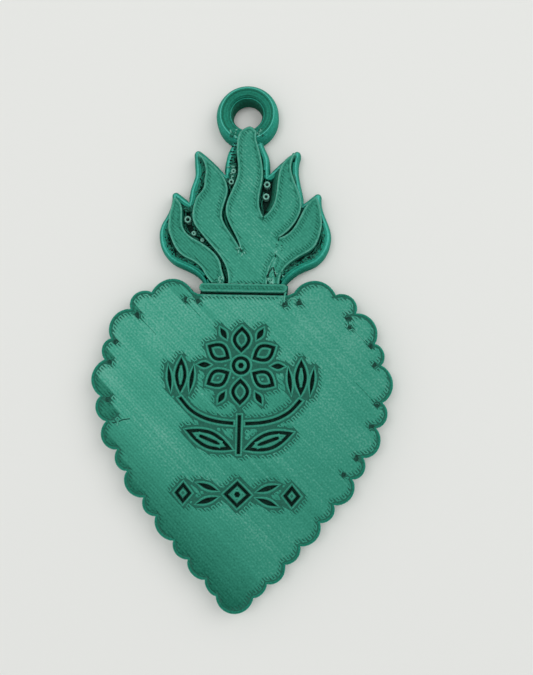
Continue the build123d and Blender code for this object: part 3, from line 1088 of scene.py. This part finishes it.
# A line low in the slot between the centre and left inner tongues, darkened as painted shade
SLOT_FILL = ((-3.1, 19.6), (-3.2, 18.4), (-2.7, 17.0), (-1.75, 15.4), (-0.8, 13.8))
slope_lines.append(level_line(SLOT_FILL, RIM_TOP, TONE_SLOT_FILL))
edge_height = TONGUE_TOP - LAYER / 2
crest_height = TONGUE_TOP - THIN_LINE_DROP
crown_rows = {}
for name, loop in tongue_loops.items():
    others = [tongue_loops[other] for other in TONGUES if other != name]
    touching = [np.concatenate(ends) for ends in zip(sides(others), collar_sides)]
    runs = free_runs(loop, touching)
    free_starts = np.concatenate([run[:-1] for run in runs])
    free_ends = np.concatenate([run[1:] for run in runs])
    keep_off = [(free_starts, free_ends, TONGUE_CLEAR)]
    for across, row in fill_rows([loop], keep_off, TONGUE_PITCH):
        crown_rows.setdefault(across, []).extend(row)
    edge_lines = []
    crest_lines = []
    for run in runs:
        edge_lines.append(wall_line(run, WALL_LINE / 2, edge_height, TONE_TONGUE_EDGE, False))
        # Each tongue's crest is a painted highlight
        crest_lines.append(wall_line(run, CREST_BACK, crest_height, TONE_CREST_HIGHLIGHT, False))
    finished_piece(
        name + "_lines",
        [
            # Skin under the fill, darker as painted shade below the lines
            plate([inset(loop, WALL_BACK)], FLOOR_TOP, TONGUE_TOP - SKIN_UNDER_FILL, TONE_SKIN),
            stacked_walls(runs, FLOOR_TOP, TONGUE_TOP - LAYER, closed=False),
            printed(edge_lines),
            printed(crest_lines, *CREST_SIZE),
        ],
        name,
    )
crown_fill = [(across, joined(crown_rows[across])) for across in sorted(crown_rows)]
finished_piece(
    "flame_tongue_top_lines",
    [zigzag(crown_fill, TONGUE_TOP, crown_tone, TONGUE_GROOVE_SHADE), printed(slope_lines)],
)

# Strands that the nozzle dragged along the tongues' curved sides: the longest side of a curve, how
# far out and how high they lie, their points, steps and wander, and their tones and size
CURVED_SIDE = 1
STRAND_OUT = (0.1, 0.45)
STRAND_HEIGHT = (1.3, 2.1)
STRAND_POINTS = 4
STRAND_STEP = (0.2, 0.4)
STRAND_WANDER = 0.12
STRAND_TONES = (0.3, 1.3)
STRAND_SIZE = (0.16, 0.16)
# Short strands on the lines inside the rim
FLANK_STEPS = (0.5, 0.7, 0.9)
FLANK_POINTS = 3
FLANK_WANDER = 0.25
FLANK_TONES = (-0.3, 1.3)
FLANK_SIZE = (0.2, 0.16)
strand_lines = []
for loop in tongue_loops.values():
    for here, following in zip(loop, np.roll(loop, -1, 0)):
        ahead = following - here
        if np.linalg.norm(ahead) > CURVED_SIDE:
            continue
        ahead = ahead / max(np.linalg.norm(ahead), 1e-6)
        outward = np.array((ahead[1], -ahead[0]))
        start = here + outward * rng.uniform(*STRAND_OUT)
        height = rng.uniform(*STRAND_HEIGHT)
        strand = []
        for step in range(STRAND_POINTS):
            wander = outward * either_way(STRAND_WANDER)
            spot = start + ahead * step * rng.uniform(*STRAND_STEP) + wander
            strand.append((*spot, height + either_way(STRAND_WANDER)))
        strand = np.array(strand)
        if inside(strand[:, :2], pocket).all():
            strand_lines.append(Line(strand, rng.uniform(*STRAND_TONES)))
flank_lines = []
for back in FLANK_STEPS:
    for stretch in rim_stretches(back):
        for spot in stretch:
            wander = np.array([either_way(FLANK_WANDER) for _ in range(2 * FLANK_POINTS)])
            strand = spot + wander.reshape(FLANK_POINTS, 2)
            if inside(strand, pocket).all():
                flank_lines.append(level_line(strand, RIM_TOP, rng.uniform(*FLANK_TONES)))
strand_meshes = [printed(strand_lines, *STRAND_SIZE), printed(flank_lines, *FLANK_SIZE)]
finished_piece("valley_strands", strand_meshes, finish=dragged)

# Torn line ends at the roots of the tongues and on the ring: their middles, how far they scatter,
# how many there are and how high they lie
TEARS = (
    (-0.4, 13.1, 0.5, 9, TONGUE_TOP),
    (5.3, 13.6, 0.6, 10, TONGUE_TOP),
    (4.3, 10.1, 0.6, 5, TONGUE_TOP),
    (3.95, 8.6, 0.35, 18, TONGUE_TOP),
    (-3.6, 8.8, 0.5, 12, TONGUE_TOP),
    (6.0, 9.8, 0.6, 7, TONGUE_TOP),
    (-2.3, 26.6, 0.35, 7, POST_TOP),
    (-2.5, 24.9, 0.4, 8, POST_TOP),
    (-2.2, 31.6, 0.5, 16, RING_TOP),
    (1.9, 31.6, 0.5, 14, RING_TOP),
)
# A torn end: its length, how far it bends, its tones, how far down it lies, and its size
TEAR_LENGTH = (0.2, 0.55)
TEAR_BEND = 0.8
TEAR_TONES = (0.2, 0.45, 0.75)
TEAR_DROP = 0.04
TEAR_SIZE = (0.22, 0.14)
tear_lines = []
for x, y, scatter, count, top in TEARS:
    for _ in range(count):
        start = np.array((x + either_way(scatter), y + either_way(scatter)))
        way = rng.uniform(0, 2 * math.pi)
        length = rng.uniform(*TEAR_LENGTH)
        bend = way + either_way(TEAR_BEND)
        middle = start + length / 2 * np.array((math.cos(way), math.sin(way)))
        end = middle + length / 2 * np.array((math.cos(bend), math.sin(bend)))
        tone = rng.choice(TEAR_TONES)
        tear_lines.append(level_line((start, middle, end), top - TEAR_DROP, tone))
# The crease at the right root is closed but for two short open strokes, painted near black as
# shade in the open crease
CREASE = ((4.72, 12.05), (4.45, 11.1), (4.2, 10.2), (4.1, 9.2), (4.02, 8.1))
OPEN_STROKES = (
    ((4.3, 10.5), (3.9, 9.8), (3.45, 9.1)),
    ((4.42, 10.55), (4.62, 9.9), (4.85, 9.1)),
)
CREASE_WIDTH = 0.7
STROKE_SIZE = (0.2, 0.06)
crease_foot = level_line(CREASE, FLOOR_TOP + LAYER / 2, TONE_TONGUE_EDGE)
crease_layers = round((TONGUE_TOP - FLOOR_TOP) / LAYER)
finished_piece(
    "flame_tongue_tears",
    [
        printed(tear_lines, *TEAR_SIZE),
        printed([crease_foot], CREASE_WIDTH, LAYER, crease_layers),
    ],
)
# Gaps between the layers of the slope left of the centre tongue, painted near black as their shade
SLOPE_GAPS = (
    ((-2.15, 30.15), (-1.85, 30.0), (-1.6, 30.1)),
    ((-2.4, 29.7), (-2.05, 29.55), (-1.8, 29.65)),
    ((-2.2, 29.25), (-1.9, 29.2)),
    ((-2.65, 28.85), (-2.35, 28.75), (-2.1, 28.85)),
    ((-2.55, 28.35), (-2.2, 28.3), (-1.95, 28.4)),
    ((-2.5, 27.9), (-2.2, 27.8)),
    ((-2.7, 27.45), (-2.4, 27.35), (-2.15, 27.45)),
    ((-2.75, 26.95), (-2.45, 26.85)),
    ((-1.85, 27.9), (-1.75, 27.2), (-1.8, 26.5), (-1.85, 25.8)),
)
GAP_SIZE = (0.24, 0.1)
stroke_lines = [level_line(stroke, TONGUE_TOP, TONE_CUT_SHADE) for stroke in OPEN_STROKES]
gap_lines = [level_line(gap, RIM_TOP, TONE_CUT_SHADE) for gap in SLOPE_GAPS]
finished_piece(
    "flame_tongue_strokes",
    [printed(stroke_lines, *STROKE_SIZE), printed(gap_lines, *GAP_SIZE)],
    finish=dragged,
)

# Smears of plastic at the collar's ends and a strand across the heart's left edge
SMEARS = (
    ((-8.35, 5.2), (-8.15, 5.75), (-7.65, 5.85), (-7.2, 5.45)),
    ((6.35, 6.9), (6.2, 6.1), (6.15, 5.3)),
    ((6.8, 5.5), (7.25, 5.95), (7.8, 5.9), (8.15, 5.5)),
    ((-17.9, -12.6), (-18.05, -13.6)),
)
# A lip along the slot under the collar
LIP = ((-6.3, 6.2), (-2.0, 6.18), (2.0, 6.2), (6.3, 6.18))
LIP_DROP = 0.08
SMEAR_SIZE = (0.35, 0.2)
SEAM_SIZE = (0.1, 0.07)
smear_lines = [level_line(smear, HEART_TOP, TONE_FILL) for smear in SMEARS]
smear_lines.append(level_line(LIP, HEART_TOP - LIP_DROP, TONE_FILL))
seam_lines = []
for start, length in SEAMS:
    seam = np.array(start) + np.array([[0], [length]]) * FILL_ALONG
    seam_lines.append(level_line(seam, HEART_TOP - THIN_LINE_DROP, TONE_SEAM))
finished_piece(
    "heart_plate_smears", [printed(smear_lines, *SMEAR_SIZE), printed(seam_lines, *SEAM_SIZE)]
)

# Valley posts
POST_LINE = 0.3
post_loops = [loop for loop in outlines("valley_posts", POST_TOP) if area(loop) > 0]
post_walls = stacked_walls(post_loops, FLOOR_TOP, POST_TOP, TONE_POST, POST_LINE)
finished_piece("valley_posts_lines", [post_walls], "valley_posts")

# Hanging ring: how far plates stand back inside a layer and stop under its top, and each crest's
# radius, height and tone; the crests are thin lines of painted highlight, but for one dark line of
# painted shade
RING_PLATE_BACK = 0.12
RING_PLATE_DROP = 0.04
RING_CRESTS = ((4.12, RING_TOP, 0.82), (3.8, RING_TOP, 0.25), (2.63, RING_CREST, 0.62))
RING_CREST_DROP = 0.04
RING_CREST_SIZE = (0.17, 0.08)
ring_meshes = []
ring_lines = []
crown_base = RING_TOP - RING_HALF_WIDTH
ring_layers = round(RING_TOP / LAYER)
for layer in range(ring_layers):
    height = (layer + 0.5) * LAYER
    half = RING_HALF_WIDTH
    if height < RING_FOOT_BEVEL:
        half -= RING_FOOT_BEVEL - height
    if height > crown_base:
        half = math.sqrt(RING_HALF_WIDTH**2 - (height - crown_base) ** 2)
    reach = half - WALL_LINE / 2
    steps = (-reach, reach)
    if layer == ring_layers - 1:
        half = RING_TOP_HALF_WIDTH
        reach = half - WALL_LINE / 2
        steps = (-reach, 0, reach)
    for step in steps:
        loop = ring_circle(RING_MIDDLE_RADIUS + step)
        tone = TONE_RING
        if layer < ring_layers - 1:
            # Painted light on the outer side, painted shade in the bore below its crest
            tone = TONE_RING_SIDE_LIT if step > 0 else TONE_RING_BORE_SHADE
            if step < 0 and height > RING_CREST:
                tone = TONE_RING
        ring_lines.append(level_line(loop, height, tone, True))
    core = half - RING_PLATE_BACK
    outer = ring_circle(RING_MIDDLE_RADIUS + core)
    inner = ring_circle(RING_MIDDLE_RADIUS - core)[::-1]
    low = max(height - LAYER / 2, BED_GAP)
    high = height + LAYER / 2 - RING_PLATE_DROP
    ring_meshes.append(plate([outer, inner], low, high, TONE_RING))
ring_crests = []
for radius, height, tone in RING_CRESTS:
    ring_crests.append(level_line(ring_circle(radius), height - RING_CREST_DROP, tone, True))
finished_piece(
    "hanging_ring_lines",
    [*ring_meshes, printed(ring_lines), printed(ring_crests, *RING_CREST_SIZE)],
    "hanging_ring",
    finish=sheen_wall_plastic,
)

# Camera, floor and light
PHOTO_WIDTH = 533
FOCAL_PIXELS = 640
CAMERA_DISTANCE = 94.72
LOOK_AT = (3.686, 0.0, 3.0)
PITCH = 6.0
YAW = 2.524
ROLL = 1.16

turn = (
    Matrix.Rotation(math.radians(ROLL), 4, "Z")
    @ Matrix.Rotation(math.radians(PITCH), 4, "X")
    @ Matrix.Rotation(math.radians(YAW), 4, "Y")
)
lens = bpy.data.cameras.new("camera")
lens.sensor_fit = "HORIZONTAL"
lens.sensor_width = 36
lens.lens = FOCAL_PIXELS / PHOTO_WIDTH * lens.sensor_width
lens.clip_start = 0.001
camera = placed("camera", lens)
place = Vector(LOOK_AT) + turn @ Vector((0, 0, CAMERA_DISTANCE))
camera.matrix_world = Matrix.Translation(place * MM) @ turn
bpy.context.scene.camera = camera

board, _, paint = new_material("painted_board")
feed(paint, {"Base Color": linear("#e7e7e3"), "Roughness": 0.8})
floor_mesh = bpy.data.meshes.new("floor")
floor_mesh.from_pydata([(-1, -1, 0), (1, -1, 0), (1, 1, 0), (-1, 1, 0)], [], [(0, 1, 2, 3)])
floor_mesh.materials.append(board)
floor = placed("floor", floor_mesh)

world = bpy.data.worlds.new("studio")
world.use_nodes = True
feed(world.node_tree.nodes["Background"], {"Color": linear("#f2f4f5"), "Strength": 0.72})
bpy.context.scene.world = world
bpy.context.scene.view_settings.view_transform = "Standard"


def soft_lamp(name, place, aim, size, watts):
    """A square lamp that faces a point; places in metres."""
    light = bpy.data.lights.new(name, "AREA")
    light.size = size
    light.energy = watts
    lamp = placed(name, light)
    lamp.location = place
    lamp.rotation_euler = (Vector(aim) - Vector(place)).to_track_quat("-Z", "Y").to_euler()


soft_lamp("softbox", (-0.14, 0.06, 0.45), (0, 0, 0), 0.2, 0.38)
soft_lamp("window", (0.5, 0.3, 0.6), (0, 0, 0), 0.6, 2.0)
